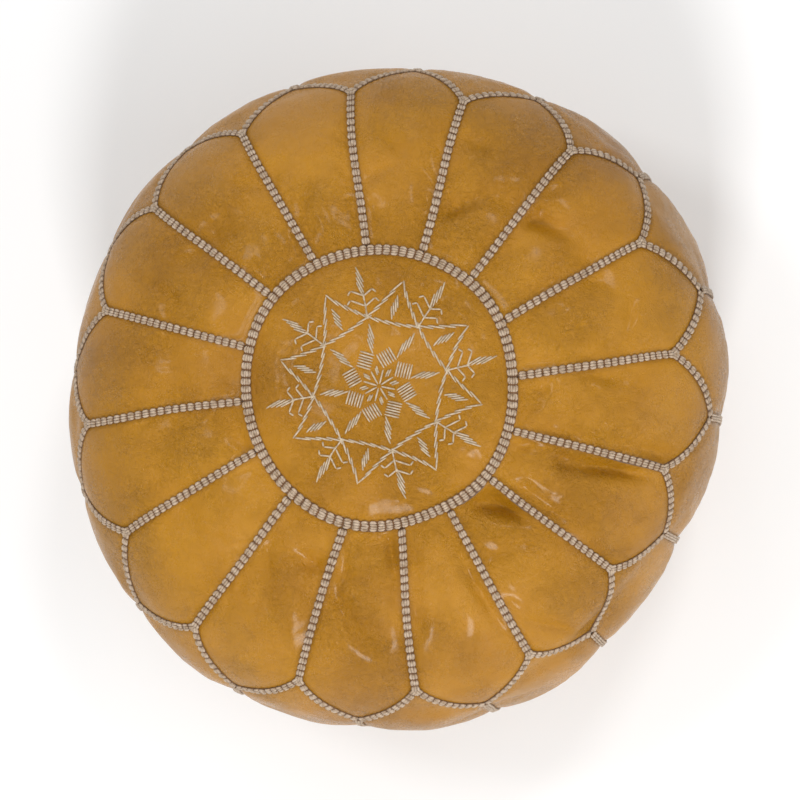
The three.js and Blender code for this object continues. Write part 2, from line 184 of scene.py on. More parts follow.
def settle(p):  # how far the settled stuffing moves a point of the cover
    grip = min(1.0, max(0.0, (p.z - 0.004) / 0.03))  # the foot stays round and flat
    reach = math.hypot(p.x, p.y)
    around = math.degrees(math.atan2(p.y, p.x))
    push = lobeSum(settled["sides"], around) * (reach / waistRadius) ** 2
    drop = 0.0
    for *place, depth in settled["hollows"]:
        along, across = fromValley(p, *place)
        drop += depth * math.exp(-along ** 2 - across ** 2)
    drop *= onTop(p)
    for at, height, spread, tall, lean, depth in settled["dents"]:
        turned = degreesFrom(at, around) / spread
        push -= depth * math.exp(-turned ** 2 - ((p.z - height) / tall - lean * turned) ** 2)
    drift = noise.noise_vector(p / settled["driftSize"] + Vector((3.1, 7.7, 1.9))) * settled["drift"]
    out = Vector((p.x, p.y, 0)) * (push / max(reach, 1e-6))
    return (out + drift - Vector((0, 0, drop))) * grip


def slide(a, s):  # where the seams have been pulled along the leather
    angle = math.degrees(a)
    nearRing = s / roundelAt if s < roundelAt else max(0.0, 1 - (s - roundelAt) / cover["petalSeam"])
    nearFork = math.exp(-((s - forkAt) / 0.040) ** 2) if s > roundelAt else 0.0
    nearRing *= nearRing
    s += lobeSum(settled["forks"], angle) * nearFork + lobeSum(settled["ring"], angle) * nearRing
    return a + math.radians(lobeSum(settled["twist"], angle)) * nearRing, s


def coverPoint(a, s, out=0.0):
    a, s = slide(a, s)
    r, z, normalR, normalZ = meridianAt(s)
    r += out * normalR
    p = Vector((r * math.cos(a), r * math.sin(a), z + out * normalZ))
    return p + settle(p)


def scallopAt(a):  # where the scallop seam crosses a meridian
    w = 1 - abs(2 * ((a / pitch) % 1) - 1)
    k = cover["scallopBow"]
    return forkAt + cover["scallop"] * (math.sqrt((1 - k) ** 2 + 4 * k * w) - (1 - k)) / (2 * k)


# small helpers

def meshFrom(bm, name):
    mesh = bpy.data.meshes.new(name)
    bm.to_mesh(mesh)
    bm.free()
    return mesh


def newVerts(result):  # the vertices that an extrude made
    return [item for item in result["geom"] if isinstance(item, bmesh.types.BMVert)]


def faceOutwards(bm, outward):  # outward gives the way that a face should look
    bmesh.ops.recalc_face_normals(bm, faces=bm.faces)
    if sum(face.normal.dot(outward(face)) for face in bm.faces) < 0:
        bmesh.ops.reverse_faces(bm, faces=bm.faces)


def newObject(name, bm, materials, smooth=True):
    for face in bm.faces:
        face.smooth = smooth
    mesh = meshFrom(bm, name)
    obj = bpy.data.objects.new(name, mesh)
    bpy.context.scene.collection.objects.link(obj)
    for material in materials:
        mesh.materials.append(material)
    return obj


def grainTemplate(sides, rings, square=0.55):  # one short thread, lying along X, 1 long, 1 wide and 1 high
    mostFull = 2.2
    bm = bmesh.new()
    bmesh.ops.create_uvsphere(bm, u_segments=sides, v_segments=rings, radius=0.5)
    for v in bm.verts:
        x, y, z = v.co.z, v.co.y, v.co.x
        v.co = (0.5 * math.copysign(abs(2 * x) ** square, x), y, z)
        ball = math.sqrt(max(1e-6, 1 - (2 * x) ** 2))
        fuller = min(mostFull, math.sqrt(max(0.0, 1 - abs(2 * v.co.x) ** 4) + 0.02) / ball)
        v.co.y *= fuller
        v.co.z *= fuller
    bmesh.ops.recalc_face_normals(bm, faces=bm.faces)
    return meshFrom(bm, "grain")


def addGrain(bm, template, place):  # adds a copy of the template with every point moved by place
    first = len(bm.verts)
    bm.from_mesh(template)
    bm.verts.ensure_lookup_table()
    for v in bm.verts[first:]:
        v.co = place(v.co)


# materials

def nodeMaterial(name):
    material = bpy.data.materials.new(name)
    material.use_nodes = True
    tree = material.node_tree
    return material, tree, tree.nodes["Principled BSDF"]


def addNode(tree, kind, values=None, **settings):
    node = tree.nodes.new("ShaderNode" + kind)
    for key, value in settings.items():
        setattr(node, key, value)
    for key, value in (values or {}).items():
        node.inputs[key].default_value = value
    return node


def ramp(tree, source, stops):
    node = addNode(tree, "ValToRGB")
    while len(node.color_ramp.elements) < len(stops):
        node.color_ramp.elements.new(0.5)
    for element, (at, colour) in zip(node.color_ramp.elements, stops):
        element.position = at
        element.color = (*colour, 1) if len(colour) == 3 else colour
    tree.links.new(source, node.inputs[0])
    return node.outputs[0]


def linear(red, green, blue):
    shares = (red / 255, green / 255, blue / 255)
    return tuple(c / 12.92 if c <= 0.04 else ((c + 0.055) / 1.055) ** 2.4 for c in shares)


def noiseNode(tree, coords, scale, detail=4.0, rough=0.5, distortion=0.0):
    values = {"Scale": scale, "Detail": detail, "Roughness": rough, "Distortion": distortion}
    node = addNode(tree, "TexNoise", values)
    tree.links.new(coords, node.inputs["Vector"])
    return node.outputs["Fac"]


def mixColour(tree, factor, one, two, blend="MIX"):
    node = addNode(tree, "Mix", data_type="RGBA", blend_type=blend)
    for socket, value in ((node.inputs[0], factor), (node.inputs[6], one), (node.inputs[7], two)):
        if isinstance(value, bpy.types.NodeSocket):
            tree.links.new(value, socket)
        elif isinstance(value, (int, float)):
            socket.default_value = value
        else:
            socket.default_value = (*value, 1)
    return node.outputs[2]


def sums(tree, operation, one, two):
    node = addNode(tree, "Math", operation=operation)
    for socket, value in zip(node.inputs, (one, two)):
        if isinstance(value, bpy.types.NodeSocket):
            tree.links.new(value, socket)
        else:
            socket.default_value = value
    return node.outputs[0]


def bump(tree, height, distance, strength=1.0, under=None):
    node = addNode(tree, "Bump", {"Distance": distance, "Strength": strength})
    tree.links.new(height, node.inputs["Height"])
    if under:
        tree.links.new(under, node.inputs["Normal"])
    return node.outputs["Normal"]


# seamShade is the colour of the painted shade, with some grime, that darkens the leather beside its seams.
leatherLook = dict(
    dark=(152, 100, 6), main=(175, 119, 7), light=(184, 128, 10), seamShade=(116, 75, 8), mottle=9.0,
    blotch=160.0, flecks=330.0, grain=1300.0, crinkle=300.0, creaseLines=55.0, sheenPatch=42.0,
    sparkle=620.0, roughness=(0.20, 0.40), specular=0.36, coat=0.08, coatRoughness=0.16)


def grey(value):
    return (value, value, value)


def leatherMaterial(name, look, shade=1.0, gloss=0.0):
    material, tree, shader = nodeMaterial(name)
    link = tree.links.new
    coords = addNode(tree, "TexCoord").outputs["Object"]
    keys = ("dark", "main", "light", "seamShade")
    dark, main, light, shadow = [linear(*(c * shade for c in look[key])) for key in keys]
    mottle = noiseNode(tree, coords, look["mottle"], 5, 0.6, 0.4)
    base = ramp(tree, mottle, [(0.25, dark), (0.46, main), (0.78, light)])
    blotch = noiseNode(tree, coords, look["blotch"], 6, 0.65)
    base = mixColour(tree, ramp(tree, blotch, [(0.42, grey(0)), (0.80, grey(0.30))]), base, dark)
    flecks = noiseNode(tree, coords, look["flecks"], 2, 0.4)
    base = mixColour(tree, ramp(tree, flecks, [(0.78, grey(0)), (0.84, grey(0.6))]), base, dark)
    # Painted shade with some grime: within a few millimetres of a seam the leather is darkened towards
    # seamShade.
    reach = addNode(tree, "Attribute", attribute_name="seamReach").outputs["Fac"]
    nearSeam = ramp(tree, sums(tree, "MULTIPLY", reach, 50.0), [(0.10, grey(0.45)), (0.30, grey(0))])
    base = mixColour(tree, nearSeam, base, shadow)
    link(base, shader.inputs["Base Color"])

    lines = noiseNode(tree, coords, look["creaseLines"], 5, 0.6, 1.6)
    lines = ramp(tree, lines, [(0.44, grey(0)), (0.50, grey(1)), (0.56, grey(0))])
    crinkle = noiseNode(tree, coords, look["crinkle"], 7, 0.72, 1.0)
    cells = addNode(tree, "TexVoronoi", {"Scale": look["grain"]}, feature="DISTANCE_TO_EDGE")
    link(coords, cells.inputs["Vector"])
    pores = ramp(tree, cells.outputs["Distance"], [(0.0, grey(0)), (0.22, grey(1))])
    patch = ramp(tree, noiseNode(tree, coords, 15, 3, 0.5), [(0.36, grey(0.30)), (0.60, grey(1))])
    normal = bump(tree, sums(tree, "MULTIPLY", lines, patch), 0.0008, 0.55)
    normal = bump(tree, sums(tree, "MULTIPLY", crinkle, patch), 0.0028, 0.90, normal)
    normal = bump(tree, pores, 0.00022, 0.50, normal)
    link(normal, shader.inputs["Normal"])

    low, high = (value + gloss for value in look["roughness"])
    broad = noiseNode(tree, coords, look["sheenPatch"], 5, 0.6)
    sparkle = noiseNode(tree, coords, look["sparkle"], 3, 0.6)
    rough = sums(tree, "ADD", sums(tree, "MULTIPLY", broad, 0.6), sums(tree, "MULTIPLY", sparkle, 0.4))
    link(ramp(tree, rough, [(0.36, grey(low)), (0.64, grey(high))]), shader.inputs["Roughness"])
    shader.inputs["Specular IOR Level"].default_value = look["specular"]
    shader.inputs["Coat Weight"].default_value = look["coat"]
    shader.inputs["Coat Roughness"].default_value = look["coatRoughness"]
    return material


def threadMaterial(name, light, dark, twist=900.0):
    material, tree, shader = nodeMaterial(name)
    coords = addNode(tree, "TexCoord").outputs["Object"]
    patch = noiseNode(tree, coords, 380, 4, 0.65)
    base = ramp(tree, patch, [(0.34, linear(*dark)), (0.60, linear(*light))])
    tree.links.new(base, shader.inputs["Base Color"])
    fibres = noiseNode(tree, coords, twist, 4, 0.7, 0.6)
    tree.links.new(bump(tree, fibres, 0.0004, 0.6), shader.inputs["Normal"])
    rough = ramp(tree, fibres, [(0.3, (0.62,) * 3), (0.7, (0.88,) * 3)])
    tree.links.new(rough, shader.inputs["Roughness"])
    shader.inputs["Sheen Weight"].default_value = 0.25
    shader.inputs["Sheen Roughness"].default_value = 0.5
    shader.inputs["Specular IOR Level"].default_value = 0.3
    return material


ochre = leatherMaterial("ochre_leather", leatherLook)
ochreUnder = leatherMaterial("underside_leather", leatherLook, shade=0.93, gloss=0.10)
creamThread = threadMaterial("cream_thread", (192, 172, 150), (146, 120, 92))
starThread = threadMaterial("star_thread", (200, 182, 156), (160, 138, 110))
brownWelt = threadMaterial("brown_welt", (112, 78, 46), (84, 56, 30), 500.0)


def wovenMaterial(name, light, dark, threads, bumpHeight=0.0002, rough=0.9, sheen=0.2):
    material, tree, shader = nodeMaterial(name)
    coords = addNode(tree, "TexCoord").outputs["Object"]
    weave = None
    ripple = {"Scale": threads, "Distortion": 0.6, "Detail": 2.0, "Detail Scale": 1.4}
    for direction in ("X", "Y"):
        wave = addNode(tree, "TexWave", ripple, bands_direction=direction)
        tree.links.new(coords, wave.inputs["Vector"])
        weave = wave.outputs["Fac"] if weave is None else sums(tree, "MULTIPLY", weave, wave.outputs["Fac"])
    patch = noiseNode(tree, coords, 18, 5, 0.65)
    tone = sums(tree, "ADD", sums(tree, "MULTIPLY", weave, 0.5), sums(tree, "MULTIPLY", patch, 0.6))
    base = ramp(tree, tone, [(0.22, linear(*dark)), (0.70, linear(*light))])
    tree.links.new(base, shader.inputs["Base Color"])
    tree.links.new(bump(tree, weave, bumpHeight, 0.7), shader.inputs["Normal"])
    shade = ramp(tree, patch, [(0.3, (rough - 0.12,) * 3), (0.7, (min(1, rough + 0.06),) * 3)])
    tree.links.new(shade, shader.inputs["Roughness"])
    shader.inputs["Sheen Weight"].default_value = sheen
    return material


def brassMaterial(name):
    material, tree, shader = nodeMaterial(name)
    coords = addNode(tree, "TexCoord").outputs["Object"]
    tarnish = noiseNode(tree, coords, 220, 5, 0.6)
    dull, brass, bright = linear(138, 100, 52), linear(190, 150, 84), linear(214, 178, 112)
    base = ramp(tree, tarnish, [(0.30, dull), (0.55, brass), (0.8, bright)])
    tree.links.new(base, shader.inputs["Base Color"])
    shader.inputs["Metallic"].default_value = 1.0
    scuff = noiseNode(tree, coords, 900, 5, 0.7)
    tree.links.new(ramp(tree, scuff, [(0.3, (0.22,) * 3), (0.75, (0.46,) * 3)]), shader.inputs["Roughness"])
    tree.links.new(bump(tree, scuff, 0.00003, 0.5), shader.inputs["Normal"])
    return material


def waddingMaterial(name):
    material, tree, shader = nodeMaterial(name)
    coords = addNode(tree, "TexCoord").outputs["Object"]
    fluff = noiseNode(tree, coords, 70, 8, 0.72, 1.5)
    base = ramp(tree, fluff, [(0.3, (0.62, 0.60, 0.55)), (0.65, (0.90, 0.89, 0.86))])
    tree.links.new(base, shader.inputs["Base Color"])
    tree.links.new(bump(tree, fluff, 0.004, 0.8), shader.inputs["Normal"])
    tree.links.new(ramp(tree, fluff, [(0.3, (0.9,) * 3), (0.7, (1, 1, 1))]), shader.inputs["Roughness"])
    shader.inputs["Sheen Weight"].default_value = 0.4
    return material


tapeWeave = wovenMaterial("zip_tape_weave", (150, 116, 70), (96, 70, 38), 700)
calico = wovenMaterial("insert_calico", (228, 220, 202), (196, 184, 160), 420)
wadding = waddingMaterial("insert_wadding")
brass = brassMaterial("zip_brass")
print("materials made")


# leather cover: one cloth, held along its seams and blown out by the stuffing

clothCover = dict(columns=22, petalRows=30, sideRows=48, pressure=4.4, slack=0.018, cap=0.0080, frames=20,
                  seamSink=0.0010, flatBeside=0.0036, steepest=0.42, wrinkle=0.0015, wrinkleSize=0.030,
                  smoothest=0.25, calm=[(172, 52, -0.65)])
leatherStuff = dict(quality=6, mass=0.25, stretch=25, shear=12, bending=0.6)


def wrinkled(p, size):  # soft ridged creases, warped so that none runs straight
    q = p / size + noise.noise_vector(p / size * 0.45 + Vector((4, 9, 2))) * 1.3
    ridge = 1 - abs(2 * noise.noise(q))
    fine = 1 - abs(2 * noise.noise(q * 2.6 + Vector((7, 1, 3))))
    return ridge ** 4 * 0.70 + fine ** 4 * 0.30 - 0.3


def creased(obj, places, look):  # keeps the leather low beside its seams and adds its creases
    reaches = obj.data.attributes["seamReach"].data
    mesh = obj.data
    done = []
    for v, place, reach in zip(mesh.vertices, places, reaches):
        room = max(0.0, reach.value - look["flatBeside"]) * look["steepest"]
        move = place - v.co
        if move.length > room:
            place = v.co + move * (room / move.length)
        fade = min(1.0, max(0.0, reach.value - look["flatBeside"]) / 0.012)
        patch = min(1.0, max(look["smoothest"], 1.5 * noise.noise(v.co / 0.07 + Vector((2, 5, 8))) + 0.75))
        patch *= 1 + lobeSum(look["calm"], math.degrees(math.atan2(v.co.y, v.co.x)))
        rise = look["wrinkle"] * patch * fade * wrinkled(v.co, look["wrinkleSize"])
        pressed = min(1.0, max(0.0, (reach.value - creases["fadeFrom"]) / creases["fadeOver"]))
        done.append(place + v.normal * rise - Vector((0, 0, creaseDepth(v.co) * pressed)))
    return done


def blowOut(obj, pins, look):
    rest = [v.co.copy() for v in obj.data.vertices]
    group = obj.vertex_groups.new(name="seams")
    group.add(pins, 1.0, "REPLACE")
    cloth = obj.modifiers.new("stuffing", "CLOTH")
    settings = cloth.settings
    settings.quality = leatherStuff["quality"]
    settings.mass = leatherStuff["mass"]
    settings.tension_stiffness = settings.compression_stiffness = leatherStuff["stretch"]
    settings.shear_stiffness = leatherStuff["shear"]
    settings.bending_stiffness = leatherStuff["bending"]
    settings.vertex_group_mass = "seams"
    settings.use_pressure = True
    settings.uniform_pressure_force = look["pressure"]
    settings.shrink_min = -look["slack"]
    settings.effector_weights.gravity = 0
    cloth.collision_settings.use_collision = False
    scene = bpy.context.scene
    for step in range(1, look["frames"] + 1):
        scene.frame_set(step)
    moved = obj.evaluated_get(bpy.context.evaluated_depsgraph_get())
    blown = [v.co.copy() for v in moved.to_mesh().vertices]
    moved.to_mesh_clear()
    obj.modifiers.remove(cloth)
    scene.frame_set(1)
    for i, (before, after) in enumerate(zip(rest, blown)):
        move = after - before
        if move.length > look["cap"]:
            blown[i] = before + move * (look["cap"] / move.length)
    return creased(obj, blown, look)


def seamReach(a, s):  # distance from a point of the cover to the nearest seam
    r = meridianAt(s)[0]
    fromSeam = abs((a / pitch + 0.5) % 1 - 0.5) * pitch * r
    fromMiddle = abs((a / pitch) % 1 - 0.5) * pitch * r
    crossing = scallopAt(a)
    if s <= crossing:
        return max(0.0, min(fromSeam, s - roundelAt, (crossing - s) * 0.8))
    return max(0.0, min(fromMiddle if s > tipAt else 1, (s - crossing) * 0.7, floorSeamAt - s))


def sewCover():
    columns = clothCover["columns"] * cover["panels"]
    rows = clothCover["petalRows"] + clothCover["sideRows"]
    bm = bmesh.new()
    bmesh.ops.create_grid(bm, x_segments=columns, y_segments=rows, size=0.5)
    reachLayer = bm.verts.layers.float.new("seamReach")
    panelLayer = bm.faces.layers.int.new("panel")
    for face in bm.faces:
        middle = face.calc_center_median()
        column = int((middle.x + 0.5) * columns)
        row = int((middle.y + 0.5) * rows)
        if row < clothCover["petalRows"]:
            face[panelLayer] = column // clothCover["columns"]
        else:
            half = clothCover["columns"] // 2
            face[panelLayer] = 100 + ((column + half) // clothCover["columns"]) % cover["panels"]
    for v in bm.verts:
        column = round((v.co.x + 0.5) * columns) % columns
        row = round((v.co.y + 0.5) * rows)
        a = 2 * math.pi * column / columns
        crossing = scallopAt(a)
        if row <= clothCover["petalRows"]:
            s = roundelAt + (crossing - roundelAt) * row / clothCover["petalRows"]
            onSeam = column % clothCover["columns"] == 0
        else:
            s = crossing + (floorSeamAt - crossing) * (row - clothCover["petalRows"]) / clothCover["sideRows"]
            onSeam = column % clothCover["columns"] == clothCover["columns"] // 2
        held = onSeam or row in (0, clothCover["petalRows"], rows)
        v[reachLayer] = seamReach(a, s)
        v.co = coverPoint(a, s, -clothCover["seamSink"] if held else 0)
        v.tag = held
    bmesh.ops.remove_doubles(bm, verts=bm.verts, dist=1e-5)
    faceOutwards(bm, lambda face: face.calc_center_median() * Vector((1, 1, 0)))
    bm.verts.index_update()
    pins = [v.index for v in bm.verts if v.tag]
    cloth = newObject("cover_cloth", bm, [])
    blown = blowOut(cloth, pins, clothCover)
    bm = bmesh.new()
    bm.from_mesh(cloth.data)
    bm.verts.ensure_lookup_table()
    for v, place in zip(bm.verts, blown):
        v.co = place
    bpy.data.objects.remove(cloth)
    return bm


def backLeather(piece, node, thickness):  # gives a skin its wall, inwards, and softens its facets
    hide = piece.modifiers.new("hide", "SOLIDIFY")
    hide.thickness = thickness
    hide.offset = -1
    soften = piece.modifiers.new("soften", "SUBSURF")
    soften.levels = soften.render_levels = 1
    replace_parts(piece, node)
    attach(piece, body)


def leatherPanel(whole, number, name, material):
    part = whole.copy()
    layer = part.faces.layers.int["panel"]
    bmesh.ops.delete(part, geom=[f for f in part.faces if f[layer] != number], context="FACES")
    panel = newObject(name, part, [material])
    backLeather(panel, name, cover["leather"])


wholeCover = sewCover()
print("cover blown out")
for i in range(cover["panels"]):
    leatherPanel(wholeCover, i, f"top_petal_{i + 1:02d}", ochre)
    leatherPanel(wholeCover, 100 + i, f"side_panel_{i + 1:02d}", ochre)
wholeCover.free()
print("petals and side panels cut")


# roundel

clothRoundel = dict(cells=56, pressure=3.0, slack=0.012, cap=0.0050, frames=20, dome=0.0012,
                    flatBeside=0.0046, steepest=0.30, wrinkle=0.0034, wrinkleSize=0.030, smoothest=0.55,
                    calm=[])


def makeRoundel():
    bm = bmesh.new()
    bmesh.ops.create_grid(bm, x_segments=clothRoundel["cells"], y_segments=clothRoundel["cells"], size=1)
    reachLayer = bm.verts.layers.float.new("seamReach")
    rim = [v.index for v in bm.verts if v.is_boundary]
    for v in bm.verts:
        x, y = v.co.x, v.co.y  # square to disc
        disc = Vector((x * math.sqrt(1 - y * y / 2), y * math.sqrt(1 - x * x / 2)))
        s = roundelAt * min(1.0, disc.length)
        rise = clothRoundel["dome"] * (1 - min(1.0, disc.length) ** 2)
        v[reachLayer] = roundelAt - s
        sink = clothCover["seamSink"] * min(1.0, disc.length) ** 8
        v.co = coverPoint(math.atan2(disc.y, disc.x), s, rise - sink)
    faceOutwards(bm, lambda face: Vector((0, 0, 1)))
    roundel = newObject("top_roundel", bm, [ochre])
    for v, place in zip(roundel.data.vertices, blowOut(roundel, rim, clothRoundel)):
        v.co = place
    backLeather(roundel, "top_roundel", cover["leather"])
    return roundel


roundel = makeRoundel()
print("roundel made")


# seams: blocks of cream threads laid along the seam, over a brown welt

seamBand = dict(block=0.0056, gap=0.0008, sides=6, rings=5, threadHeight=0.0019, lift=0.0007,
                weltHeight=0.0005, weltDrop=0.0016, weltThickness=0.0008, pinch=0.32, barrel=0.0007,
                twist=0.0008, snug=1.06)
grain = grainTemplate(seamBand["sides"], seamBand["rings"])
starGrain = grainTemplate(6, 7, 0.8)


class SeamPath:
    def __init__(self, points):
        self.points, self.lengths = points, [0.0]
        for (a0, s0), (a1, s1) in zip(points, points[1:]):
            r = meridianAt((s0 + s1) / 2)[0]
            self.lengths.append(self.lengths[-1] + math.hypot(r * (a1 - a0), s1 - s0))
        self.length = self.lengths[-1]

    def at(self, along, across, out):  # a point beside the seam's line and above the leather
        i = min(max(bisect.bisect_left(self.lengths, along), 1), len(self.points) - 1)
        (a0, s0), (a1, s1) = self.points[i - 1], self.points[i]
        step = max(self.lengths[i] - self.lengths[i - 1], 1e-9)
        t = (along - self.lengths[i - 1]) / step
        a, s = a0 + t * (a1 - a0), s0 + t * (s1 - s0)
        r = meridianAt(s)[0]
        da, ds = r * (a1 - a0) / step, (s1 - s0) / step
        return coverPoint(a - across * ds / r, s + across * da, out)


def spaced(low, high, steps):
    return [low + (high - low) * i / steps for i in range(steps + 1)]


def threadSeam(name, path, halfWidth, threads, first=0.0, last=0.0):
    bm = bmesh.new()
    length = path.length - first - last
    rows = max(2, round(length / 0.004))
    bmesh.ops.create_grid(bm, x_segments=rows, y_segments=6, size=0.5)
    for v in bm.verts:
        along = first + (v.co.x + 0.5) * length
        across = v.co.y * 2
        crown = seamBand["weltHeight"] * (1 - across ** 4) - seamBand["weltDrop"] * across ** 4
        v.co = path.at(along, across * (halfWidth + 0.0004), crown)
    inside = Vector((0, 0, cover["waistHeight"] * 0.75))
    faceOutwards(bm, lambda face: face.calc_center_median() - inside)
    bmesh.ops.solidify(bm, geom=bm.faces[:], thickness=seamBand["weltThickness"])
    for f in bm.faces:
        f.material_index = 1
    count = max(1, round(length / seamBand["block"]))
    block = length / count
    wide = 2 * halfWidth / threads
    for i in range(count):
        for k in range(threads):
            sway = noise.noise(Vector((i * 0.9, k * 3.7, path.points[0][0] * 5)))
            middle = first + (i + 0.5 + 0.05 * sway) * block
            side = -halfWidth + (k + 0.5) * wide
            rise = seamBand["lift"] + 0.0003 * (1 - (side / halfWidth) ** 2) + 0.0002 * sway

            def place(co):  # the strands of a block bow apart in its middle, like a small barrel
                end = (2 * co.x) ** 2
                across = (side + co.y * wide * seamBand["snug"]) * (1 - seamBand["pinch"] * end)
                across += co.x * seamBand["twist"] * sway
                out = rise - seamBand["barrel"] * end + co.z * seamBand["threadHeight"]
                return path.at(middle + co.x * (block - seamBand["gap"]), across, out)
            addGrain(bm, grain, place)
    seam = newObject(name, bm, [creamThread, brownWelt])
    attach(seam, body)
    return seam


ringHalf, bandHalf = 0.0040, 0.0031  # half the width of each band, in metres
ringPath = SeamPath([(a, roundelAt) for a in spaced(0, 2 * math.pi, 240)])
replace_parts(threadSeam("roundel_seam", ringPath, ringHalf, 4), "petal_seams")
for i in range(cover["panels"]):
    ray = SeamPath([(i * pitch, s) for s in spaced(roundelAt, forkAt, 30)])
    seam = threadSeam(f"petal_seam_{i + 1:02d}", ray, bandHalf, 3, first=0.0042, last=-0.0012)
    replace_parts(seam, "petal_seams")
for i in range(2 * cover["panels"]):
    angles = spaced(i * pitch / 2, (i + 1) * pitch / 2, 16)
    if i % 2:
        angles.reverse()
    half = SeamPath([(a, scallopAt(a)) for a in angles])
    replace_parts(threadSeam(f"scallop_seam_{i + 1:02d}", half, bandHalf, 3, last=0.0008), "side_seams")
for i in range(cover["panels"]):
    down = SeamPath([((i + 0.5) * pitch, s) for s in spaced(tipAt, floorSeamAt, 40)])
    seam = threadSeam(f"side_seam_{i + 1:02d}", down, bandHalf, 3, first=0.002, last=0.0035)
    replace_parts(seam, "side_seams")
floorPath = SeamPath([(a, floorSeamAt) for a in spaced(0, 2 * math.pi, 240)])
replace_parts(threadSeam("foot_seam", floorPath, bandHalf, 3), "floor_seam")
print("seams sewn")


# underside: two leather halves with their edges folded in at the zip

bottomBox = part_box("bottom_half_left")
underside = dict(rimRadius=bottomBox[1].x - 0.0002, flatRadius=cover["floorRadius"] - cover["leather"],
                 rimHeight=bottomBox[1].z - 0.0014, edge=bottomBox[0].y, slot=0.0060, slotEnd=0.170,
                 slotEase=0.004, lift=0.0006, leather=0.0013, cellsAcross=96, cellsDeep=40, ripple=0.0005,
                 tailEnd=0.2025, tailHeight=0.0026, tailHalf=0.0036)


def discPoint(x, y):  # a square bent to a disc
    return Vector((x * math.sqrt(1 - y * y / 2), y * math.sqrt(1 - x * x / 2)))


def undersideHalf(name, hand):
    u = underside
    bm = bmesh.new()
    bmesh.ops.create_grid(bm, x_segments=u["cellsAcross"], y_segments=u["cellsDeep"], size=1)
    reachLayer = bm.verts.layers.float.new("seamReach")
    for v in bm.verts:
        v.tag = v.co.y < -0.999
        flat = discPoint(v.co.x, (v.co.y + 1) / 2) * u["rimRadius"]
        ease = min(1.0, max(0.0, (u["slotEnd"] - abs(flat.x)) / u["slotEase"]))
        edge = u["edge"] + (u["slot"] - u["edge"]) * ease
        y = edge + flat.y * (1 - edge / u["rimRadius"])
        reach = math.hypot(flat.x, y)
        rise = max(0.0, (reach - u["flatRadius"]) / (u["rimRadius"] - u["flatRadius"])) * u["rimHeight"]
        ripple = u["ripple"] * max(0.0, noise.noise(Vector((flat.x * 22, y * 22, 4.0 + hand))))
        ripple *= min(1, (y - edge) / 0.02)
        v[reachLayer] = min(u["rimRadius"] - reach, y - edge + 0.003)
        v.co = Vector((flat.x, y * hand, u["lift"] + rise + ripple))
    lipEnd = u["slotEnd"] - 0.006
    edges = [e for e in bm.edges if e.is_boundary and all(v.tag and abs(v.co.x) < lipEnd for v in e.verts)]
    for lift, tuck in ((0.0008, 0.0002), (0.0013, 0.0), (0.0015, -0.0003)):  # the folded lip
        folded = bmesh.ops.extrude_edge_only(bm, edges=edges)
        lip = newVerts(folded)
        bmesh.ops.translate(bm, verts=lip, vec=(0, -tuck * hand, lift))
        edges = [g for g in folded["geom"] if isinstance(g, bmesh.types.BMEdge) and g.is_boundary
                 and all(v in lip for v in g.verts)]
    faceOutwards(bm, lambda face: Vector((0, 0, -1)))
    half = newObject(name, bm, [ochreUnder])
    backLeather(half, name, underside["leather"])


undersideHalf("bottom_half_left", 1)
undersideHalf("bottom_half_right", -1)
print("underside made")


# zip: tapes, teeth, stops, slider and pull

zipBox = {node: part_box(node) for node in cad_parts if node.startswith("zip_")}
zipLook = dict(pitch=0.0024, toothLength=0.0014, cord=0.0009, stitch=0.0042, stitchGap=0.0014, plate=0.0008,
               gap=0.0003, corner=0.00022)


def roundedBlock(low, high, corner, segments=2):  # a bmesh block between two corners with softened edges
    bm = bmesh.new()
    bmesh.ops.create_cube(bm, size=1)
    size = Vector(high) - Vector(low)
    bmesh.ops.scale(bm, verts=bm.verts, vec=size)
    bmesh.ops.translate(bm, verts=bm.verts, vec=(Vector(low) + Vector(high)) / 2)
    bmesh.ops.bevel(bm, geom=bm.edges, offset=corner, segments=segments, profile=0.5, affect="EDGES",
                    material=-1)
    return bm


def metalPiece(name, bm, rider, node=None):
    piece = newObject(name, bm, [brass])
    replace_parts(piece, node or name)
    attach(piece, rider)
    return piece


def zipTape(side, hand):
    node = f"zip_tape_{side}"
    low, high = zipBox[node]
    inner = min(abs(low.y), abs(high.y))
    width = abs(high.y - low.y)
    bm = bmesh.new()
    bmesh.ops.create_grid(bm, x_segments=150, y_segments=12, size=0.5)
    for v in bm.verts:
        across = v.co.y + 0.5
        cord = zipLook["cord"] * math.exp(-((across - 0.06) / 0.05) ** 2) * 0.5
        ruck = 0.00012 * noise.noise(Vector((v.co.x * 60, across * 3, hand)))
        x = v.co.x * (high.x - low.x)
        v.co = Vector((x, hand * (inner + across * width), (low.z + high.z) / 2 - cord + ruck))
    bmesh.ops.recalc_face_normals(bm, faces=bm.faces)
    bmesh.ops.solidify(bm, geom=bm.faces[:], thickness=0.0005)
    bmesh.ops.recalc_face_normals(bm, faces=bm.faces)
    tape = newObject(node, bm, [tapeWeave])
    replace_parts(tape, node)
    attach(tape, body)


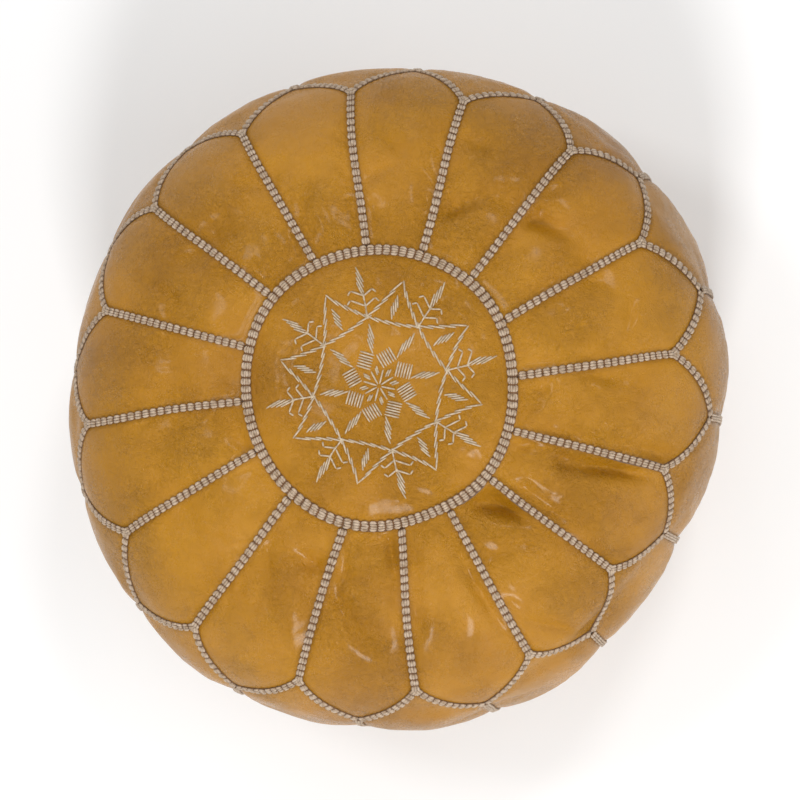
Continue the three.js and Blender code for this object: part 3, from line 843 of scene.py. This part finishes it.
def zipTeeth(side, hand):
    node = f"zip_chain_{side}"
    low, high = zipBox[node]
    inner = min(abs(low.y), abs(high.y))
    outer = max(abs(low.y), abs(high.y))
    middle = (low.z + high.z) / 2
    half = (high.z - low.z) / 2
    tooth = bmesh.new()  # a clamp round the tape's cord and a narrower nose towards the middle
    bmesh.ops.create_cube(tooth, size=1)
    bmesh.ops.scale(tooth, verts=tooth.verts, vec=(zipLook["toothLength"], (outer - inner) * 0.55, 2 * half))
    bmesh.ops.translate(tooth, verts=tooth.verts, vec=(0, (outer - inner) * 0.725, 0))
    nose = [f for f in tooth.faces if f.normal.y < -0.9]
    tip = newVerts(bmesh.ops.extrude_face_region(tooth, geom=nose))
    bmesh.ops.delete(tooth, geom=nose, context="FACES")
    bmesh.ops.translate(tooth, verts=tip, vec=(0, -(outer - inner) * 0.45, 0))
    bmesh.ops.scale(tooth, verts=tip, vec=(0.78, 1, 0.55))
    template = meshFrom(tooth, "tooth")
    bm = bmesh.new()
    count = round((high.x - low.x - 0.001) / zipLook["pitch"])
    for i in range(count):
        at = low.x + 0.0005 + (i + (0.75 if hand > 0 else 0.25)) * (high.x - low.x - 0.001) / count
        addGrain(bm, template, lambda co: Vector((at + co.x, hand * (inner + co.y), middle + co.z)))
    bmesh.ops.recalc_face_normals(bm, faces=bm.faces)
    metalPiece(node, bm, body)


def zipSlider():
    node = "zip_slider"
    low, high = zipBox[node]
    length, half = high.x - low.x, (high.y - low.y) / 2
    centre = (low.x + high.x) / 2
    chain = zipBox["zip_chain_left"]
    plate = zipLook["plate"]
    under, over = chain[0].z - zipLook["gap"], chain[1].z + zipLook["gap"]
    sunk = 0.0002
    parts = bmesh.new()

    def shield(foot, thick):
        first = len(parts.verts)
        outline = []
        for x, y in ((-0.5, 0.74), (-0.44, 1.0), (0.0, 0.97), (0.22, 0.84), (0.5, 0.70)):
            outline.append((x, y))
        outline += [(x, -y) for x, y in reversed(outline)]
        ring = [parts.verts.new((centre + x * length, y * half, foot)) for x, y in outline]
        face = parts.faces.new(ring)
        lifted = newVerts(bmesh.ops.extrude_face_region(parts, geom=[face]))
        bmesh.ops.translate(parts, verts=lifted, vec=(0, 0, thick))
        parts.verts.ensure_lookup_table()
        new = set(parts.verts[first:])
        edges = [e for e in parts.edges if e.verts[0] in new]
        bmesh.ops.bevel(parts, geom=edges, offset=zipLook["corner"], segments=2, profile=0.5, affect="EDGES",
                        material=-1)

    def block(lowCorner, highCorner, corner):
        mesh = meshFrom(roundedBlock(lowCorner, highCorner, corner), "block")
        parts.from_mesh(mesh)
        bpy.data.meshes.remove(mesh)

    shield(under - plate, plate)
    shield(over, plate)
    block((low.x + 0.0001, -0.0004, under - sunk), (low.x + 0.0040, 0.0004, over + sunk), 0.0001)
    for hand in (-1, 1):  # flanges that close over the teeth
        edge = sorted((hand * (half - 0.0002), hand * (half - 0.0010)))
        foot = (centre - length * 0.40, edge[0], under - 0.0001)
        block(foot, (centre + length * 0.12, edge[1], chain[0].z + 0.0003), 0.0001)
    arch, archWide = 0.0034, 0.0010
    for place in (-1, 1):  # the arch that the pull hangs on
        x = sorted((centre + place * arch, centre + place * 0.0022))
        block((x[0], -archWide, low.z), (x[1], archWide, under - sunk), 0.00025)
    block((centre - arch, -archWide, low.z), (centre + arch, archWide, low.z + 0.0007), 0.00028)
    bmesh.ops.recalc_face_normals(parts, faces=parts.faces)
    metalPiece(node, parts, "zip_slider")


def zipPull():
    node = "zip_pull"
    low, high = zipBox[node]
    pivot = low.x + 0.0005
    half = (high.y - low.y) / 2
    # along the pull: a distance from the hinge, and its half width as a share of the widest
    rows = ((-0.0005, 1), (0.0005, 1), (0.0030, 1), (0.0056, 0.98), (0.0085, 0.86), (0.0125, 0.80),
            (0.0165, 0.84), (0.0205, 0.92), (0.0238, 0.86), (high.x - pivot, 0.42))
    eyeStart, eyeEnd, eyeHalf = rows[1][0], rows[3][0], 0.0017
    bm = bmesh.new()
    bmesh.ops.create_grid(bm, x_segments=len(rows) - 1, y_segments=4, size=0.5)
    for v in bm.verts:
        i = round((v.co.x + 0.5) * (len(rows) - 1))
        k = round(v.co.y * 4)
        x, share = rows[i]
        y = {0: 0.0, 1: eyeHalf if i < 4 else half * share / 2, 2: half * share}[abs(k)]
        v.co = Vector((pivot + x, math.copysign(y, k), low.z + 0.0001))
    middles = {f: f.calc_center_median() for f in bm.faces}
    eye = [f for f, m in middles.items() if eyeStart < m.x - pivot < eyeEnd and abs(m.y) < eyeHalf]
    bmesh.ops.delete(bm, geom=eye, context="FACES")
    lifted = newVerts(bmesh.ops.extrude_face_region(bm, geom=bm.faces[:]))
    bmesh.ops.translate(bm, verts=lifted, vec=(0, 0, high.z - low.z - 0.0002))
    bmesh.ops.recalc_face_normals(bm, faces=bm.faces)
    sharp = [e for e in bm.edges if len(e.link_faces) == 2 and e.calc_face_angle() > 0.9]
    bmesh.ops.bevel(bm, geom=sharp, offset=zipLook["corner"], segments=2, profile=0.5, affect="EDGES",
                    material=-1)
    middles = {f: f.calc_center_median() for f in bm.faces if abs(f.normal.z) > 0.9}
    dent = [f for f, m in middles.items() if rows[5][0] < m.x - pivot < rows[7][0] and abs(m.y) < half * 0.45]
    bmesh.ops.inset_region(bm, faces=dent, thickness=0.0004, depth=-0.00015)
    metalPiece(node, bm, "zip_pull")


def zipStitches(hand):  # the seam that holds the tape to the folded lip, seen on the underside
    bm = bmesh.new()
    step = zipLook["stitch"] + zipLook["stitchGap"]
    count = int(2 * (underside["slotEnd"] - 0.008) / step)
    for i in range(count):
        middle = (i - (count - 1) / 2) * step

        def place(co):
            x = middle + co.x * zipLook["stitch"]
            return Vector((x, hand * 0.0098 + co.y * 0.0009, 0.0006 + co.z * 0.0010))
        addGrain(bm, starGrain, place)
    stitches = newObject("zip_stitches_" + ("left" if hand > 0 else "right"), bm, [starThread])
    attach(stitches, body)


class TailPath:  # the floor seam's straight tail, from the zip's end out to the rim
    def __init__(self, hand):
        self.hand, self.points = hand, [(hand, 0)]
        self.start = underside["slotEnd"] - 0.0015
        self.length = underside["tailEnd"] - self.start

    def at(self, along, across, out):
        x = self.start + along
        rise = max(0.0, (x - underside["flatRadius"]) / (underside["rimRadius"] - underside["flatRadius"]))
        return Vector((self.hand * x, across, underside["tailHeight"] + rise * underside["rimHeight"] - out))


zipTape("left", 1)
zipTape("right", -1)
zipTeeth("left", 1)
zipTeeth("right", -1)
for node in ("zip_top_stop_left", "zip_top_stop_right", "zip_bottom_stop"):
    metalPiece(node, roundedBlock(*zipBox[node], 0.0003), body)
zipSlider()
zipPull()
zipStitches(1)
zipStitches(-1)
for hand, side in ((-1, "left"), (1, "right")):
    tail = threadSeam(f"foot_seam_tail_{side}", TailPath(hand), underside["tailHalf"], 3)
    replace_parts(tail, "floor_seam")
print("zip made")


# insert: a calico bag and the wadding that fills it

insert = dict(columns=128, sideRows=64, footRows=26, gap=0.0052, cloth=0.0008, foot=0.0038, lowest=0.012,
              channelHigh=0.0084, channelLong=0.205, channelWide=0.0190, slitLong=0.098, slitWide=0.0040,
              pleat=0.0009, clear=0.0012)


def insertShape(node, inward, lumps, material, slit):
    n = insert
    rows = n["sideRows"] + n["footRows"]
    bm = bmesh.new()
    bmesh.ops.create_grid(bm, x_segments=n["columns"], y_segments=rows, size=0.5)
    footAt = meridianLengths[-1]
    for v in bm.verts:
        column = round((v.co.x + 0.5) * n["columns"]) % n["columns"]
        row = round((v.co.y + 0.5) * rows)
        a = 2 * math.pi * column / n["columns"]
        if row <= n["sideRows"]:
            s = footAt * 0.985 * row / n["sideRows"]
            pleat = n["pleat"] * math.cos(16 * a) * (row / n["sideRows"])
            p = coverPoint(a, s, -inward - n["clear"] + pleat)
            p.z -= creaseDepth(p)
            p.z = max(p.z, inward + (n["lowest"] if row > n["sideRows"] - 3 else 0))
        else:
            t = (row - n["sideRows"]) / n["footRows"]
            r = (meridianAt(footAt)[0] - inward - 0.004) * (1 - t)
            p = Vector((r * math.cos(a), r * math.sin(a), n["foot"] + inward - n["gap"]))
            more = inward - n["gap"]
            if abs(p.x) < n["channelLong"] + more and abs(p.y) < n["channelWide"] + more:
                p.z = n["channelHigh"] + more
        v.co = p + noise.noise_vector(p * 24) * lumps
    bmesh.ops.remove_doubles(bm, verts=bm.verts, dist=3e-5)
    bmesh.ops.recalc_face_normals(bm, faces=bm.faces)
    if slit:
        gone = [f for f in bm.faces if abs(f.calc_center_median().x) < n["slitLong"]
                and abs(f.calc_center_median().y) < n["slitWide"] and f.calc_center_median().z < 0.02]
        bmesh.ops.delete(bm, geom=gone, context="FACES")
    piece = newObject(node, bm, [material])
    if slit:
        wall = piece.modifiers.new("wall", "SOLIDIFY")
        wall.thickness = n["cloth"]
        wall.offset = -1
    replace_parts(piece, node)
    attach(piece, body)


insertShape("insert_cover", insert["gap"], 0.0008, calico, True)
insertShape("insert_filling", insert["gap"] + 0.0026, 0.0010, wadding, False)
print("insert made")


# embroidery on the roundel: an eight-pointed star, its sprigs, and small rhombi round the middle

star = dict(
    turn=26.8, thread=0.00122, threadHeight=0.0013, lift=0.0005, dip=0.0010, tipRadius=0.0735,
    sideRadius=0.0432, stitch=0.0128, stride=0.0080, apart=0.00110, crossing=0.0458, sprig=0.0172,
    leaf=0.0118, leafPitch=0.00146, leafStagger=0.0030, rhombusRadius=0.0200, rhombus=0.0112,
    rhombusPitch=0.00198, heart=(0.0022, -0.0016), rim=(0.0034, 0.0013))  # the last two: how far off centre


def roundelSkin():
    depsgraph = bpy.context.evaluated_depsgraph_get()
    return BVHTree.FromObject(roundel, depsgraph)


def offCentre(p):
    heart, rim = Vector(star["heart"]), Vector(star["rim"])
    return p + heart + (rim - heart) * min(1.0, p.length / star["tipRadius"])


class Embroidery:
    def __init__(self):
        self.bm = bmesh.new()
        self.skin = roundelSkin()
        self.count = 0

    def height(self, x, y):
        hit = self.skin.ray_cast(Vector((x, y, 1)), Vector((0, 0, -1)))[0]
        return hit.z if hit else cover["height"] - cover["puff"]

    def stitch(self, start, end):
        start, end = offCentre(start), offCentre(end)
        along = end - start
        side = Vector((-along.y, along.x)).normalized()
        self.count += 1
        sway = noise.noise(Vector((self.count * 1.7, 0.3, 5.1)))
        middle = (start + end) / 2 + side * 0.00025 * sway
        ends = [self.height(*(start + along * t)) for t in (0, 0.25, 0.5, 0.75, 1)]

        def place(co):
            t = min(max(co.x + 0.5, 0), 1) * 4
            i = min(int(t), 3)
            flat = ends[i] + (t - i) * (ends[i + 1] - ends[i])
            spot = middle + along * co.x + side * co.y * star["thread"]
            dip = star["dip"] * (2 * abs(co.x)) ** 6
            return Vector((spot.x, spot.y, flat + star["lift"] + co.z * star["threadHeight"] - dip))
        addGrain(self.bm, starGrain, place)


def polar(radius, degrees):
    return Vector((math.cos(math.radians(degrees)), math.sin(math.radians(degrees)))) * radius


def strands(work, middle, degrees, length, count, pitch, stagger):  # side by side, each a little further on
    along, side = polar(1, degrees), polar(1, degrees + 90)
    for k in range(count):
        t = k - (count - 1) / 2
        centre = middle + side * t * pitch - along * t * stagger
        work.stitch(centre - along * length / 2, centre + along * length / 2)


def leaf(work, middle, degrees, size=1.0):
    strands(work, middle, degrees, star["leaf"] * size, 4, star["leafPitch"], star["leafStagger"] * size)


def starSide(work, tip):  # one bowed side, from a tip to the next but one, in overlapping stitches
    start, end = polar(star["tipRadius"], tip), polar(star["tipRadius"], tip + 90)
    bend = polar(2 * star["sideRadius"] - star["tipRadius"] * math.cos(math.pi / 4), tip + 45)
    line = [start * (1 - t) ** 2 + bend * 2 * t * (1 - t) + end * t * t for t in spaced(0, 1, 60)]
    lengths = [0.0]
    for p, q in zip(line, line[1:]):
        lengths.append(lengths[-1] + (q - p).length)

    def onLine(d):
        i = min(max(bisect.bisect_left(lengths, d), 1), 60)
        t = (d - lengths[i - 1]) / (lengths[i] - lengths[i - 1])
        return line[i - 1] + (line[i] - line[i - 1]) * t
    steps = round((lengths[-1] - star["stitch"]) / star["stride"])
    for i in range(steps + 1):
        d = (lengths[-1] - star["stitch"]) * i / steps
        p, q = onLine(d), onLine(d + star["stitch"])
        side = Vector((-(q - p).y, (q - p).x)).normalized() * star["apart"]
        work.stitch(p + side, q - side)


def sprig(work, crossing, lean):  # a stem with two pairs of hooked twigs and a leaf at its end
    root = polar(star["crossing"] + 0.001, crossing)
    stem = polar(star["sprig"], crossing + lean)
    for t in (0.0, 0.34, 0.66):
        work.stitch(root + stem * t, root + stem * (t + 0.38))
    for t, size in ((0.50, 1.0), (0.92, 0.86)):
        for hand, length in ((-1, 0.0088), (1, 0.0118)):
            foot = root + stem * t
            heading = crossing + lean + hand * 60
            elbow = foot + polar(length * size, heading)
            work.stitch(foot, elbow)
            work.stitch(elbow, elbow + polar(0.0038, heading + hand * 78))
    heading = crossing + 8 + 1.5 * lean
    leaf(work, root + stem + polar(0.0086, heading), heading + 9, size=1.12)


def embroider():
    work = Embroidery()
    for k in range(8):
        tip = star["turn"] + 45 * k
        crossing = tip + 22.5
        wobble = 2.5 * noise.noise(Vector((k * 2.3, 1.1, 0)))
        work.stitch(polar(0.0012, tip - 3), polar(0.0118, tip - 3 + wobble))
        strands(work, polar(0.0108, crossing - 2), crossing + 8, 0.0056, 2, 0.0013, 0.0010)
        middle = polar(star["rhombusRadius"], tip - 3 + wobble / 2)
        strands(work, middle, tip + 42 + wobble, star["rhombus"], 6, star["rhombusPitch"], 0.0)
        leaf(work, polar(0.0328, crossing + wobble / 2), crossing + 11)
        leaf(work, polar(0.0545, tip + 1), tip + 14 + wobble, size=0.82)
        starSide(work, tip)
        sprig(work, crossing, wobble)
    threads = newObject("embroidered_star", work.bm, [starThread])
    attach(threads, body)
    return work.count


print("embroidered with", embroider(), "stitches")


# floor, light and camera

# Each lamp is a name, a distance, a tilt from overhead, a heading, a size and a power.
studio = dict(
    distance=1.6, tilt=6.9, towards=-37.5, roll=6.7, lens=91.8, aim=(-0.0002, -0.0007, 0.165), world=0.42,
    lamps=[("key", 1.9, 44, -92, 0.36, 20), ("window", 2.1, 24, 150, 0.34, 7),
           ("glint", 2.1, 28, 55, 0.30, 7), ("fill", 2.4, 62, -20, 1.6, 13), ("back", 2.4, 62, 110, 1.6, 12)])


def makeStudio():
    bm = bmesh.new()
    bmesh.ops.create_grid(bm, x_segments=1, y_segments=1, size=6)
    bmesh.ops.subdivide_edges(bm, edges=bm.edges, cuts=3, use_grid_fill=True)
    material, tree, shader = nodeMaterial("pale_floor")
    coords = addNode(tree, "TexCoord").outputs["Object"]
    tone = ramp(tree, noiseNode(tree, coords, 3, 3), [(0.3, (0.93, 0.93, 0.93)), (0.7, (0.95, 0.95, 0.95))])
    tree.links.new(tone, shader.inputs["Base Color"])
    shader.inputs["Roughness"].default_value = 0.9
    floor = newObject("floor", bm, [material], smooth=False)
    bpy.context.scene.view_settings.view_transform = "Standard"
    world = bpy.data.worlds.new("studio")
    world.use_nodes = True
    world.node_tree.nodes["Background"].inputs[0].default_value = (1, 1, 1, 1)
    world.node_tree.nodes["Background"].inputs[1].default_value = studio["world"]
    bpy.context.scene.world = world

    for name, distance, tilt, heading, size, power in studio["lamps"]:
        light = bpy.data.lights.new(name, "AREA")
        light.energy, light.size = power, size
        lamp = bpy.data.objects.new(name, light)
        away = Matrix.Rotation(math.radians(heading), 3, "Z") @ Matrix.Rotation(math.radians(tilt), 3, "Y")
        lamp.location = away @ Vector((0, 0, distance)) + Vector((0, 0, 0.2))
        lamp.rotation_euler = away.to_euler()
        bpy.context.scene.collection.objects.link(lamp)

    tilt, towards = math.radians(studio["tilt"]), math.radians(studio["towards"])
    aim = Vector(studio["aim"])
    back = Vector((math.sin(tilt) * math.cos(towards), math.sin(tilt) * math.sin(towards), math.cos(tilt)))
    roll = math.radians(studio["roll"])
    right = Vector((math.cos(roll), -math.sin(roll), 0))
    right = (right - back * right.dot(back)).normalized()
    up = back.cross(right)
    lens = bpy.data.cameras.new("camera")
    lens.lens = studio["lens"]
    camera = bpy.data.objects.new("camera", lens)
    camera.matrix_world = Matrix((
        (right.x, up.x, back.x, aim.x + back.x * studio["distance"]),
        (right.y, up.y, back.y, aim.y + back.y * studio["distance"]),
        (right.z, up.z, back.z, aim.z + back.z * studio["distance"]),
        (0, 0, 0, 1)))
    bpy.context.scene.collection.objects.link(camera)
    bpy.context.scene.camera = camera


makeStudio()
print("studio set")
